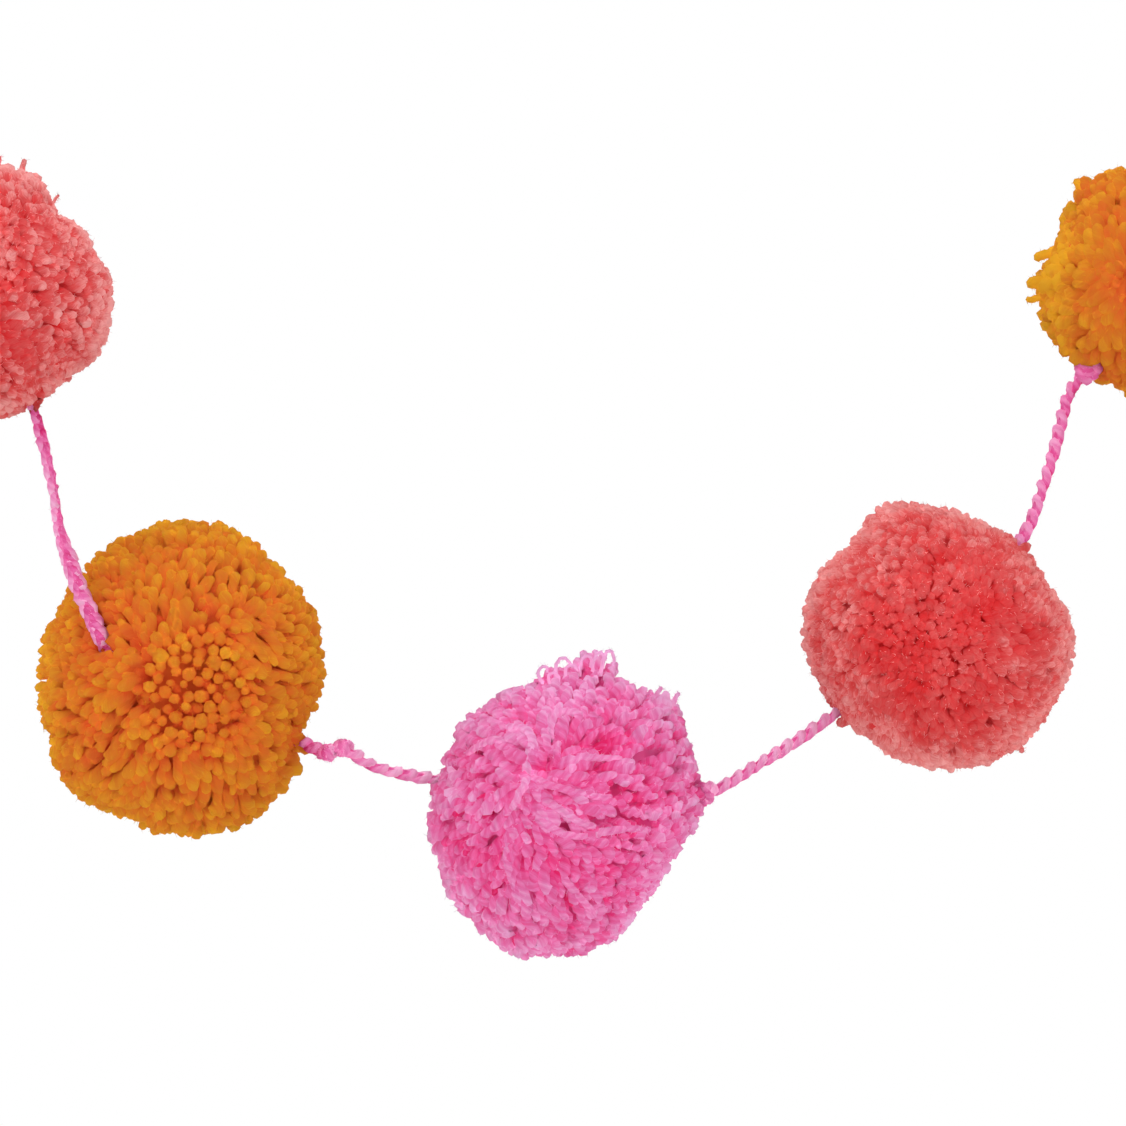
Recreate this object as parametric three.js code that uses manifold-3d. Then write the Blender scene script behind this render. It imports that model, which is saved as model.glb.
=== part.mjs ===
// A garland: five cut-yarn pompoms threaded on a crocheted chain cord, tied in a hanging loop at each end.
// Millimetres. +X runs to the right along the garland, +Y away from the viewer and +Z up.
// The origin is the top of the left hanging loop, on the middle of the cord, where it passes over a hook.

import * as THREE from 'three';
import { mergeVertices } from 'three/addons/utils/BufferGeometryUtils.js';
import Module from 'manifold-3d';

const wasm = await Module();
wasm.setup();

// The cord is a chain of soft yarn: its stitches are raised where it shows, and it is plain inside a pompom.
const CORD_SIDES = 8;
const STITCH_PITCH = 3.7;
const RINGS_PER_STITCH = 4;
const STITCH_RISE = 0.42;
const STITCH_CREST = 0.5;
const STITCH_LAG = 0.35;
const PLAIN_RING_PITCH = 5;
const KNOT_RING_PITCH = 0.8;

// The pompoms stand clear of the cord all round, along the way that it takes through them.
const CORD_CLEARANCE = 0.5;

// The hanging loops, from the cord's middle at the top of each down to its knot.
const LEFT_LOOP_TOP = [0, 0, 0];
const RIGHT_LOOP_TOP = [314.5, 0, 0];
const LOOP_KNOT_DROP = 15;
const LOOP_KNOT_RADII = [4.3, 3.2, 3.7];
const KNOT_SIDES = 12;
const KNOT_ROWS = 9;
const KNOT_WRAPS = 3;
const KNOT_WRAP_RISE = 0.1;

// One loop, as sideways and upward steps from its top, with the half thickness of the cord.
const LOOP = [
  { x: -1.95, z: -13.2, radius: 1.6 },
  { x: -4.6, z: -8.4, radius: 1.65 },
  { x: -4.3, z: -3, radius: 1.65 },
  { x: 0, z: 0, radius: 1.65 },
  { x: 4.3, z: -3, radius: 1.65 },
  { x: 4.6, z: -8.4, radius: 1.65 },
  { x: 1.95, z: -13.2, radius: 1.6 },
];

// What the cord is like from one point of its way to the next.
const PLAIN = 'plain';
const CHAIN = 'chain';
const KNOT = 'knot';

// The cord's way from the left loop's knot to the right one's: place, half thickness and the run that follows.
const ROUTE = [
  { at: [0, 0, -15], radius: 1.6, run: CHAIN },
  { at: [2.5, 0, -26], radius: 1.6, run: PLAIN },
  { at: [7, 0, -40], radius: 1.5, run: PLAIN },
  { at: [12.2, 0, -57.5], radius: 1.5, run: PLAIN },
  { at: [19.3, -1, -74], radius: 1.5, run: PLAIN },
  { at: [24, -3, -84.5], radius: 1.6, run: CHAIN },
  { at: [27, -5, -94], radius: 1.6, run: CHAIN },
  { at: [29.6, -7.5, -106], radius: 1.6, run: CHAIN },
  { at: [31.6, -10, -117.5], radius: 1.65, run: CHAIN },
  { at: [34.6, -13.5, -127], radius: 1.8, run: CHAIN },
  { at: [38.5, -16.5, -136.5], radius: 2, run: CHAIN },
  { at: [43, -18.5, -146.5], radius: 2, run: PLAIN },
  { at: [49, -11, -153], radius: 1.6, run: PLAIN },
  { at: [61, 6, -157], radius: 1.5, run: PLAIN },
  { at: [78, 7, -163], radius: 1.5, run: PLAIN },
  { at: [92, 2, -170.5], radius: 1.6, run: KNOT },
  { at: [95.5, 1, -172.3], radius: 1.7, run: KNOT },
  { at: [98.5, 0, -172.8], radius: 2.6, run: KNOT },
  { at: [100.3, 0, -172.1], radius: 2.3, run: KNOT },
  { at: [102.1, 0, -171.9], radius: 3.1, run: KNOT },
  { at: [104.8, 0, -173.8], radius: 1.7, run: CHAIN },
  { at: [110.3, 0, -176.8], radius: 1.6, run: CHAIN },
  { at: [119.8, 0, -179], radius: 1.6, run: CHAIN },
  { at: [127, 0, -180.2], radius: 1.6, run: PLAIN },
  { at: [141, 0, -184.5], radius: 1.5, run: PLAIN },
  { at: [157, 0, -188.5], radius: 1.5, run: PLAIN },
  { at: [175, 0, -188.5], radius: 1.5, run: PLAIN },
  { at: [189, 0, -184.3], radius: 1.7, run: CHAIN },
  { at: [195.5, 0, -181.6], radius: 1.65, run: CHAIN },
  { at: [201.5, 0, -178], radius: 1.6, run: CHAIN },
  { at: [209, 0, -173], radius: 1.6, run: CHAIN },
  { at: [216.5, 0, -168.3], radius: 1.6, run: CHAIN },
  { at: [226, 0, -162], radius: 1.6, run: PLAIN },
  { at: [238, 0, -153], radius: 1.5, run: PLAIN },
  { at: [251.5, 0, -142], radius: 1.5, run: PLAIN },
  { at: [263, 0, -130.5], radius: 1.5, run: PLAIN },
  { at: [271, 0, -121], radius: 1.6, run: CHAIN },
  { at: [274.4, 0, -114], radius: 1.6, run: CHAIN },
  { at: [279, -0.5, -100], radius: 1.6, run: CHAIN },
  { at: [282.2, -2, -86.5], radius: 1.6, run: CHAIN },
  { at: [284.6, -3, -81.8], radius: 1.8, run: KNOT },
  { at: [286.6, -3.5, -79.2], radius: 2.7, run: KNOT },
  { at: [288.8, -3.5, -76.4], radius: 3, run: KNOT },
  { at: [291.5, -2.5, -72.5], radius: 1.7, run: PLAIN },
  { at: [303, 0, -54], radius: 1.5, run: PLAIN },
  { at: [309, 0, -38], radius: 1.5, run: PLAIN },
  { at: [312.5, 0, -27], radius: 1.6, run: CHAIN },
  { at: [314.5, 0, -15], radius: 1.6, run: CHAIN },
];

// A pompom is a lumpy ball of packed yarn ends, out of which longer locks stand.
const CORE_SHARE = 0.935;
const CORE_LUMP = 0.1;
const CORE_DETAIL = 6;
const LOCKS_PER_POMPOM = 60;
const LOCK_REACH = 1.02;
const LOCK_UNEVENNESS = 0.05;
const LOCK_LEAN = 2.4;
const LOCK_SPACING_ANGLE = 0.34;
const LOCK_CLEAR_OF_CORD = 6.5;
const CORD_TEST_POINTS = 400;
const GOLDEN_ANGLE = Math.PI * (3 - Math.sqrt(5));

// The two steps in which a lock is drawn out: shares of its length, of its root's width and of its lean.
const LOCK_STEPS = [
  { length: 0.5, width: 0.82, lean: 0.35 },
  { length: 1, width: 0.62, lean: 1 },
];

// Yarn colours.
const CORAL = 0xe8555a;
const ORANGE = 0xdc7422;
const PINK = 0xe565a6;
const CORD_PINK = 0xe060a0;

// Each pompom's centre, its half depth, and its rim radii at equal turns from +X up through +Z and round.
// Lean is the way its yarn ends lie over. Each tuft is a turn in degrees and how far it stands past the rim.
const POMPOMS = [
  {
    name: 'pompom_coral_left',
    centre: [12.25, 0, -57.5],
    depth: 32,
    rim: [32.5, 31, 29, 32.5, 33, 33, 32.5, 33, 33, 33.5, 33, 32.5, 32, 32, 32, 33.5],
    lean: [0.5, 0, -0.6],
    tufts: [[330, 1.5], [60, 1]],
    colour: CORAL,
    seed: 11,
  },
  {
    name: 'pompom_orange',
    centre: [61, 10, -154],
    depth: 36,
    rim: [36, 37, 37.5, 39, 38.5, 36.5, 35.5, 34, 34.5, 36.5, 39, 38, 39.5, 40, 39, 34],
    lean: [0.7, 0, -0.5],
    tufts: [[165, 2], [178, 2.5], [187, 2], [240, 1.5]],
    colour: ORANGE,
    seed: 23,
  },
  {
    name: 'pompom_pink',
    centre: [157, 0, -190],
    depth: 33.5,
    rim: [33.5, 36, 41, 37.5, 35, 36, 35.5, 32.5, 34, 34, 34, 35.5, 34.5, 32.5, 30, 30.5],
    lean: [-0.5, 0, 0.5],
    tufts: [[72, 5], [82, 6], [93, 3.5], [52, 1.5]],
    colour: PINK,
    seed: 37,
  },
  {
    name: 'pompom_coral_right',
    centre: [251.5, 0, -143.75],
    depth: 32.5,
    rim: [33.5, 31.5, 30.5, 31, 32.5, 35.5, 33, 34.5, 34, 32, 31.5, 32.5, 34.5, 34.5, 34, 33.5],
    lean: [0.7, 0, 0.2],
    tufts: [[115, 1], [250, 1]],
    colour: CORAL,
    seed: 41,
  },
  {
    name: 'pompom_orange_right',
    centre: [303.5, 0, -55],
    depth: 28,
    rim: [28.5, 28, 28.5, 28.5, 28.5, 29, 28.5, 25.5, 29.5, 29, 28.5, 28, 28, 28.5, 28.5, 28.5],
    lean: [-0.6, 0, 0.4],
    tufts: [[178, 1.5], [127, 2]],
    colour: ORANGE,
    seed: 53,
  },
];

// A geometry with its shared points merged, so that its faces close.
function welded(geometry) {
  geometry.deleteAttribute('normal');
  geometry.deleteAttribute('uv');
  return mergeVertices(geometry);
}

function solidFrom(geometry) {
  const mesh = new wasm.Mesh({
    numProp: 3,
    vertProperties: Float32Array.from(geometry.getAttribute('position').array),
    triVerts: Uint32Array.from(geometry.getIndex().array),
  });
  return new wasm.Manifold(mesh);
}

function geometryFrom(solid) {
  const mesh = solid.getMesh();
  const geometry = new THREE.BufferGeometry();
  geometry.setAttribute('position', new THREE.BufferAttribute(Float32Array.from(mesh.vertProperties), 3));
  geometry.setIndex(new THREE.BufferAttribute(Uint32Array.from(mesh.triVerts), 1));
  geometry.computeVertexNormals();
  return geometry;
}

// A smooth curve whose equal steps fall on the rings given to it.
class RingedCurve extends THREE.CatmullRomCurve3 {
  constructor(points, turns) {
    super(points);
    this.turns = turns;
  }

  getUtoTmapping(u) {
    const place = u * (this.turns.length - 1);
    const before = Math.min(Math.floor(place), this.turns.length - 2);
    return THREE.MathUtils.lerp(this.turns[before], this.turns[before + 1], place - before);
  }
}

// How many rings a run of the cord needs.
function ringCount(run, length) {
  if (run === CHAIN) return RINGS_PER_STITCH * Math.max(1, Math.round(length / STITCH_PITCH));
  return Math.ceil(length / (run === KNOT ? KNOT_RING_PITCH : PLAIN_RING_PITCH));
}

// The rings along a list of rows: where each is on the curve, its radius and how far into a stitch it is.
function ringsAlong(rows) {
  const rings = [];
  for (let i = 0; i < rows.length - 1; i++) {
    const [here, next] = [rows[i], rows[i + 1]];
    const length = new THREE.Vector3(...here.at).distanceTo(new THREE.Vector3(...next.at));
    const count = ringCount(here.run, length);
    for (let k = 0; k < count; k++) {
      rings.push({
        t: (i + k / count) / (rows.length - 1),
        radius: THREE.MathUtils.lerp(here.radius, next.radius, k / count),
        stitch: here.run === CHAIN ? k / RINGS_PER_STITCH : null,
      });
    }
  }
  rings.push({ t: 1, radius: rows[rows.length - 1].radius, stitch: null });
  return rings;
}

// A length of cord: a round tube whose points are moved out to each ring's radius and its stitch's bulge.
// The legs of a stitch lag behind its middle, which gives the chain its row of V shapes.
function cordLength(rows, clearance) {
  const rings = ringsAlong(rows);
  const path = new RingedCurve(rows.map((row) => new THREE.Vector3(...row.at)), rings.map((ring) => ring.t));
  for (const ring of rings) {
    ring.centre = path.getPoint(ring.t);
    ring.along = path.getTangent(ring.t);
  }
  const outline = [];
  for (let i = 0; i < CORD_SIDES; i++) {
    const turn = (i / CORD_SIDES) * 2 * Math.PI;
    outline.push(new THREE.Vector2(Math.cos(turn), Math.sin(turn)));
  }
  const options = { steps: rings.length - 1, extrudePath: path };
  const geometry = welded(new THREE.ExtrudeGeometry(new THREE.Shape(outline), options));

  const points = geometry.getAttribute('position');
  const outward = new THREE.Vector3();
  for (let i = 0; i < points.count; i++) {
    const point = new THREE.Vector3().fromBufferAttribute(points, i);
    let owner = rings[0];
    let smallestMiss = Infinity;
    for (const ring of rings) {
      outward.subVectors(point, ring.centre);
      const miss = Math.abs(outward.length() - 1) + Math.abs(outward.dot(ring.along));
      if (miss < smallestMiss) {
        smallestMiss = miss;
        owner = ring;
      }
    }
    outward.subVectors(point, owner.centre).normalize();
    let rise = 0;
    if (owner.stitch !== null) {
      const towardSide = 1 - Math.abs(outward.y);
      rise = STITCH_RISE * Math.cos(2 * Math.PI * (owner.stitch - STITCH_CREST - STITCH_LAG * towardSide));
    }
    point.copy(owner.centre).addScaledVector(outward, owner.radius + rise + clearance);
    points.setXYZ(i, point.x, point.y, point.z);
  }
  return solidFrom(geometry);
}

// A hanging loop with its knot, whose wraps are raised round it.
function hangingLoop(top, clearance) {
  const rows = LOOP.map((row) => ({
    at: [top[0] + row.x, top[1], top[2] + row.z],
    radius: row.radius,
    run: CHAIN,
  }));
  const knot = welded(new THREE.SphereGeometry(1, KNOT_SIDES, KNOT_ROWS));
  const points = knot.getAttribute('position');
  for (let i = 0; i < points.count; i++) {
    const point = new THREE.Vector3().fromBufferAttribute(points, i);
    const turn = Math.atan2(point.z, point.x);
    const wrap = 1 + KNOT_WRAP_RISE * Math.cos(KNOT_WRAPS * (turn + point.y)) * (1 - point.y * point.y);
    const [x, y, z] = LOOP_KNOT_RADII.map((radius) => radius * wrap + clearance);
    points.setXYZ(i, top[0] + point.x * x, top[1] + point.y * y, top[2] - LOOP_KNOT_DROP + point.z * z);
  }
  return cordLength(rows, clearance).add(solidFrom(knot));
}

// The whole cord as one solid, or that solid thickened by a clearance.
function cordSolid(clearance) {
  return cordLength(ROUTE, clearance)
    .add(hangingLoop(LEFT_LOOP_TOP, clearance))
    .add(hangingLoop(RIGHT_LOOP_TOP, clearance));
}

// How far a pompom's yarn ends reach from its centre in a direction.
function reach(pompom, direction) {
  const turns = Math.atan2(direction.z, direction.x) / (2 * Math.PI);
  const place = (turns < 0 ? turns + 1 : turns) * pompom.rim.length;
  const before = Math.floor(place) % pompom.rim.length;
  const after = (before + 1) % pompom.rim.length;
  const blend = THREE.MathUtils.smoothstep(place - Math.floor(place), 0, 1);
  const rim = THREE.MathUtils.lerp(pompom.rim[before], pompom.rim[after], blend);
  const edgeOn = direction.x ** 2 + direction.z ** 2;
  return THREE.MathUtils.lerp(pompom.depth, rim, edgeOn);
}

// Where a pompom's locks stand and how far each goes past the rim: the tufts first, then evenly all over.
function lockPlaces(pompom, centre, cordPoints) {
  const places = pompom.tufts.map(([degrees, extra]) => {
    const turn = THREE.MathUtils.degToRad(degrees);
    return { direction: new THREE.Vector3(Math.cos(turn), 0, Math.sin(turn)), extra };
  });
  for (let i = 0; i < LOCKS_PER_POMPOM && places.length < LOCKS_PER_POMPOM; i++) {
    const height = 1 - (2 * i + 1) / LOCKS_PER_POMPOM;
    const across = Math.sqrt(1 - height * height);
    const turn = i * GOLDEN_ANGLE;
    const direction = new THREE.Vector3(across * Math.cos(turn), height, across * Math.sin(turn));
    const tip = direction.clone().multiplyScalar(reach(pompom, direction)).add(centre);
    const crowded = places.some((place) => place.direction.angleTo(direction) < LOCK_SPACING_ANGLE);
    const atCord = cordPoints.some((point) => point.distanceTo(tip) < LOCK_CLEAR_OF_CORD);
    if (!crowded && !atCord) places.push({ direction, extra: 0 });
  }
  return places;
}

// The packed ball: an icosahedron pushed out to the pompom's shape, each point by its own lump.
function pompomCore(pompom, centre, random) {
  const core = welded(new THREE.IcosahedronGeometry(1, CORE_DETAIL));
  const points = core.getAttribute('position');
  const corners = [];
  for (let i = 0; i < points.count; i++) {
    const direction = new THREE.Vector3().fromBufferAttribute(points, i).normalize();
    const share = CORE_SHARE + CORE_LUMP * (random() - 0.5);
    corners.push(direction.clone().multiplyScalar(reach(pompom, direction) * share).add(centre));
  }
  const index = core.getIndex().array;
  const faces = [];
  for (let i = 0; i < index.length; i += 3) faces.push([index[i], index[i + 1], index[i + 2]]);
  return { corners, faces, lockSides: [] };
}

// Takes the face of the ball nearest to a direction out of it.
function takeFace(ball, centre, direction) {
  let nearest = 0;
  let smallestAngle = Infinity;
  ball.faces.forEach((face, i) => {
    const middle = new THREE.Vector3();
    for (const corner of face) middle.add(ball.corners[corner]);
    const angle = middle.divideScalar(face.length).sub(centre).angleTo(direction);
    if (angle < smallestAngle) {
      smallestAngle = angle;
      nearest = i;
    }
  });
  return ball.faces.splice(nearest, 1)[0];
}

// One lock, drawn out of a face of the ball in tapering steps to a blunt tip.
function drawOutLock(pompom, centre, ball, place, random) {
  const face = takeFace(ball, centre, place.direction);
  const root = new THREE.Vector3();
  for (const corner of face) root.addScaledVector(ball.corners[corner], 1 / face.length);
  const share = LOCK_REACH + LOCK_UNEVENNESS * (random() - 0.5);
  const length = reach(pompom, place.direction) * share + place.extra - root.distanceTo(centre);
  const lean = new THREE.Vector3(...pompom.lean).projectOnPlane(place.direction).multiplyScalar(LOCK_LEAN);
  let below = face;
  for (const step of LOCK_STEPS) {
    const ring = face.map((corner) => {
      const point = ball.corners[corner].clone().sub(root).multiplyScalar(step.width).add(root);
      point.addScaledVector(place.direction, length * step.length).addScaledVector(lean, step.lean);
      return ball.corners.push(point) - 1;
    });
    for (let i = 0; i < face.length; i++) {
      const j = (i + 1) % face.length;
      ball.lockSides.push([below[i], below[j], ring[j]], [below[i], ring[j], ring[i]]);
    }
    below = ring;
  }
  ball.lockSides.push(below);
}

// A pompom's solid: the ball with its locks, less the way that the cord takes through it.
function pompomSolid(pompom, cordPoints, cordWay) {
  const centre = new THREE.Vector3(...pompom.centre);
  THREE.MathUtils.seededRandom(pompom.seed);
  const random = () => THREE.MathUtils.seededRandom();
  const ball = pompomCore(pompom, centre, random);
  for (const place of lockPlaces(pompom, centre, cordPoints)) {
    drawOutLock(pompom, centre, ball, place, random);
  }
  const geometry = new THREE.BufferGeometry().setFromPoints(ball.corners);
  geometry.setIndex([...ball.faces, ...ball.lockSides].flat());
  return solidFrom(geometry).subtract(cordWay);
}

function piece(name, solid, colour) {
  const material = new THREE.MeshStandardMaterial({ color: colour, roughness: 1, metalness: 0 });
  const mesh = new THREE.Mesh(geometryFrom(solid), material);
  mesh.name = name;
  return mesh;
}

const garland = new THREE.Group();
garland.add(piece('cord', cordSolid(0), CORD_PINK));

const cordWay = cordSolid(CORD_CLEARANCE);
const cordLine = new THREE.CatmullRomCurve3(ROUTE.map((row) => new THREE.Vector3(...row.at)));
const cordPoints = cordLine.getPoints(CORD_TEST_POINTS);
for (const pompom of POMPOMS) {
  garland.add(piece(pompom.name, pompomSolid(pompom, cordPoints, cordWay), pompom.colour));
}

export default garland;
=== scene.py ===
import math

import bmesh
import bpy
import numpy as np
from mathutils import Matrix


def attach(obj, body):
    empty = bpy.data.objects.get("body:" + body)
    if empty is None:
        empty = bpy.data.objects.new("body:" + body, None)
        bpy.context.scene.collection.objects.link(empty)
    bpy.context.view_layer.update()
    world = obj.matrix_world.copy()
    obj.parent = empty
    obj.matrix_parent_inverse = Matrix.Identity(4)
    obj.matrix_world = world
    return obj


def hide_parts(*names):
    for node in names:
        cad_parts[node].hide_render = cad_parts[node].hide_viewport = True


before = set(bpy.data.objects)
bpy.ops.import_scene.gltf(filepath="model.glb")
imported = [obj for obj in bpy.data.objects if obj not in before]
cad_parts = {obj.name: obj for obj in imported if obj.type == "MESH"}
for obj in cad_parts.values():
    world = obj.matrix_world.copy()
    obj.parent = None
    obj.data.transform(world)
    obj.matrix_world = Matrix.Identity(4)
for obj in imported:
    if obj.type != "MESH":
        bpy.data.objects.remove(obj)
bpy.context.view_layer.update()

# The studio: a level camera straight in front of the swag, as in the photograph, under soft white light.
# The surround is plain white, and a pale floor lies well below the hanging garland.
MM = 0.001
PHOTO_SIDE = 1126
MM_A_PIXEL = 0.25
LOOP_TOP_PIXEL = (-66, 60)
CAMERA_DISTANCE = 1.2
SENSOR = 36.0
FLOOR_HEIGHT = -0.45
FLOOR_SIDE = 2.4
# Each lamp is a soft square of light, given by its place and side in metres and its watts.
LAMPS = {
    "key_light": ((-0.1, -0.7, 0.7), 0.6, 0.9),
    "fill_light": ((0.6, -0.9, 0.0), 0.8, 0.25),
}


def at_pixel(across, down):
    """The x and z, in millimetres, of the place in the plane of the swag that a photograph's pixel shows."""
    return (across - LOOP_TOP_PIXEL[0]) * MM_A_PIXEL, (LOOP_TOP_PIXEL[1] - down) * MM_A_PIXEL


def linear(hex_colour):
    """A linear colour with alpha from an sRGB hex value."""
    channels = [int(hex_colour[i : i + 2], 16) / 255 for i in (1, 3, 5)]
    return tuple(c / 12.92 if c <= 0.04045 else ((c + 0.055) / 1.055) ** 2.4 for c in channels) + (1.0,)


def unit(vectors):
    """The same vectors, each one long."""
    return vectors / np.maximum(np.linalg.norm(vectors, axis=-1, keepdims=True), 1e-9)


scene = bpy.context.scene
scene.view_settings.view_transform = "Standard"

middle_x, middle_z = at_pixel(PHOTO_SIDE / 2, PHOTO_SIDE / 2)
swag_middle = np.array([middle_x, 0, middle_z]) * MM
camera_data = bpy.data.cameras.new("camera")
camera_data.sensor_width = SENSOR
camera_data.lens = SENSOR * CAMERA_DISTANCE / (PHOTO_SIDE * MM_A_PIXEL * MM)
camera = bpy.data.objects.new("camera", camera_data)
camera.location = swag_middle + np.array([0, -CAMERA_DISTANCE, 0])
camera.rotation_euler = (math.pi / 2, 0, 0)
scene.collection.objects.link(camera)
scene.camera = camera

world = bpy.data.worlds.new("white_surround")
world.use_nodes = True
world.node_tree.nodes["Background"].inputs["Color"].default_value = (1, 1, 1, 1)
world.node_tree.nodes["Background"].inputs["Strength"].default_value = 1.0
scene.world = world

for name, (place, lamp_side, watts) in LAMPS.items():
    lamp_data = bpy.data.lights.new(name, "AREA")
    lamp_data.size = lamp_side
    lamp_data.energy = watts
    lamp = bpy.data.objects.new(name, lamp_data)
    lamp.location = place
    aim = unit(swag_middle - np.array(place))
    lamp.rotation_euler = (math.acos(-aim[2]), 0, math.atan2(-aim[0], aim[1]))
    scene.collection.objects.link(lamp)

# The floor's matt paint scatters light evenly, so it looks plain and has no gloss.
floor_mesh = bpy.data.meshes.new("floor")
half_floor = FLOOR_SIDE / 2
floor_corners = []
for across, away in ((-1, -1), (1, -1), (1, 1), (-1, 1)):
    floor_corners.append((swag_middle[0] + across * half_floor, away * half_floor, FLOOR_HEIGHT))
floor_mesh.from_pydata(floor_corners, [], [(0, 1, 2, 3)])
floor = bpy.data.objects.new("floor", floor_mesh)
scene.collection.objects.link(floor)
floor_paint = bpy.data.materials.new("matt_white_paint")
floor_paint.use_nodes = True
floor_paint.node_tree.nodes["Principled BSDF"].inputs["Base Color"].default_value = linear("#F2F0EE")
floor_paint.node_tree.nodes["Principled BSDF"].inputs["Roughness"].default_value = 0.9
floor_mesh.materials.append(floor_paint)

# The cord: one length of soft acrylic yarn worked into a crocheted chain, on which the pompoms are threaded.
# It is tied into a loop at each end and knotted under it. Two more knots stand side by side right of the
# orange pompom, one right of the pink pompom and one at the last pompom. Sizes are in millimetres.
PATH_STEP = 4.0
STITCH_PITCH = 3.7
STITCH_LENGTH = 5.4
CHAIN_HALF_WIDTH = 0.95
CHAIN_HALF_DEPTH = 0.35
CHAIN_YARN_RADIUS = 1.02
LOOP_POINTS = 16
LOOP_SIDES = 8
LOOP_NARROWING = 0.45
LOOP_PLUMPING = 0.22
LOOP_UNEVENNESS = 0.05
LOOP_TILT = 0.6
LOOP_TONE = 0.46
LOOP_PAINTED_SHADING = 0.36
LOOP_MOTTLE = 0.06
CORE_RADIUS = 1.1
CORE_STEP = 2.0
CORE_SIDES = 6
CORE_PAINTED_SHADE = 0.2
CORD_FIBRES = 7000
CORD_FIBRE_LENGTHS = (0.4, 1.0)
CORD_FIBRE_WIDTH = 0.05
CORD_FIBRE_SPREAD = 0.7
CORD_FIBRE_TONE = 0.8
CORD_SOFTNESS = 0.5

# Left of this place the chain is a little thinner, and its loops tip the other way.
LEFT_STRETCH_END = 60
LEFT_CHAIN_SIZE = 0.82
CHAIN_SIZE = 0.86

# The chain lies over the orange pompom below one place and left of another. Each place has the width of the
# change there.
OVER_ORANGE_BELOW = (-121, 2)
OVER_ORANGE_LEFT_OF = (47, 1.5)
BROAD_FACE_GROWTH = 0.27
BROAD_FACE_PALER = 0.1

# How far the chain is turned on edge, and how it wavers, in radians.
EDGE_TURN = 1.2
WAVER = 0.35
WAVER_A_STITCH = 0.9
TURN_UNEVENNESS = 0.1

# Where the yarn is a deeper rose: a place, a width and how much deeper.
DEEPER_ABOVE_ORANGE = (-92, 9, 0.15)
DEEPER_AT_DOUBLE_KNOT = (93, 7, 0.25)
DEEPER_TO_LAST_POMPOM = (266, 3, 0.2)

# Each knot's place and size, and the lean, the place along the cord and the tone of each turn in a knot.
KNOTS = (
    (98.4, 0, -173.2, 0.78),
    (102.2, 0, -172.0, 0.8),
    (192.0, 0, -183.6, 1.05),
    (287.9, -6, -77.2, 1.17),
    (0, 0, -15, 1.0),
    (314.5, 0, -15, 1.0),
)
KNOT_TURNS = ((0.5, -1.4, 0.45), (0.35, 0.1, 0.3), (-0.8, 0.0, 0.4), (0.5, 1.4, 0.6))
KNOT_TURN_POINTS = 20
KNOT_YARN_RADIUS = 1.05
KNOT_YARN_UNEVENNESS = 0.12
KNOT_REACH = 1.85
KNOT_LEAN_REACH = 2
KNOT_END_TAPER = 0.2
KNOT_TONE_CHANGE = 0.1

# The way of the cord's middle: round the left loop, down and through each pompom, and round the right loop.
HANGING_LOOP = [
    (-1.95, 0, -13.2), (-4.6, 0, -8.4), (-4.3, 0, -3), (0, 0, 0),
    (4.3, 0, -3), (4.6, 0, -8.4), (1.95, 0, -13.2),
]
ROUTE = [
    (0, 0, -15), (2.5, 0, -26), (7, 0, -40), (12.2, 0, -57.5), (19.4, -1, -74), (24.3, -3, -84.5),
    (27.5, -5, -94), (30.4, -7.5, -106), (32.6, -10, -117.5), (35.8, -13.5, -127), (39.9, -16.5, -136.3),
    (44.2, -18.3, -145.5), (49, -11, -152.5), (61, 8, -157), (80, 11, -167.5), (88, 7.5, -170),
    (92, 4, -170.9), (95.5, 1.5, -172.3), (98.5, 0, -172.8), (100.3, 0, -172.1), (102.1, 0, -171.9),
    (104.8, 0, -173.8), (110.3, 0, -176.8), (119.8, 0, -179), (127, 0, -180.2), (141, 0, -184.5),
    (157, 0, -188.5), (175, 0, -188.5), (189, 0, -184.5), (195.7, 0, -182.3), (201.7, 0, -179),
    (209.5, 0, -174.1), (216.9, 0, -169.4), (226, 0, -163), (238, 0, -153), (251.5, 0, -142),
    (263, 0, -130.5), (271, 0, -121), (274.8, 0, -114), (279.4, -0.5, -100), (282.7, -2, -86.5),
    (284.7, -4.5, -81.8), (286.7, -5.8, -79), (288.7, -6, -76.2), (291.5, -4, -72.5), (303, 0, -54),
    (309, 0, -38), (312.5, 0, -27), (314.5, 0, -15),
]
right_loop = [(x + ROUTE[-1][0], y, z) for x, y, z in HANGING_LOOP]
cord_points = [*HANGING_LOOP, *ROUTE, *right_loop]


def smooth_line(points, step):
    """Points every step or so along a smooth curve through the given ones."""
    points = np.array(points, float)
    ends = np.vstack([2 * points[0] - points[1], points, 2 * points[-1] - points[-2]])
    part = 0.05
    share = np.arange(0, 1, part)[:, None]
    fine = []
    for before, here, there, after in zip(ends, ends[1:], ends[2:], ends[3:]):
        bend = 2 * before - 5 * here + 4 * there - after
        whip = 3 * here - before - 3 * there + after
        fine.append(here + 0.5 * ((there - before) * share + bend * share**2 + whip * share**3))
    fine = np.vstack([*fine, points[-1:]])
    gone = np.concatenate([[0], np.cumsum(np.linalg.norm(np.diff(fine, axis=0), axis=1))])
    wanted = np.linspace(0, gone[-1], round(gone[-1] / step) + 1)
    return np.stack([np.interp(wanted, gone, fine[:, i]) for i in range(3)], axis=1)


def fading(apart, width, power=2):
    """1 where there is no distance, fading to nothing past a distance of about the width."""
    return np.exp(-((apart / width) ** power))


def eased_below(values, place, width):
    """1 for values well below the place and 0 well above it, changing over about the width."""
    return 1 / (1 + np.exp((values - place) / width))


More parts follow.
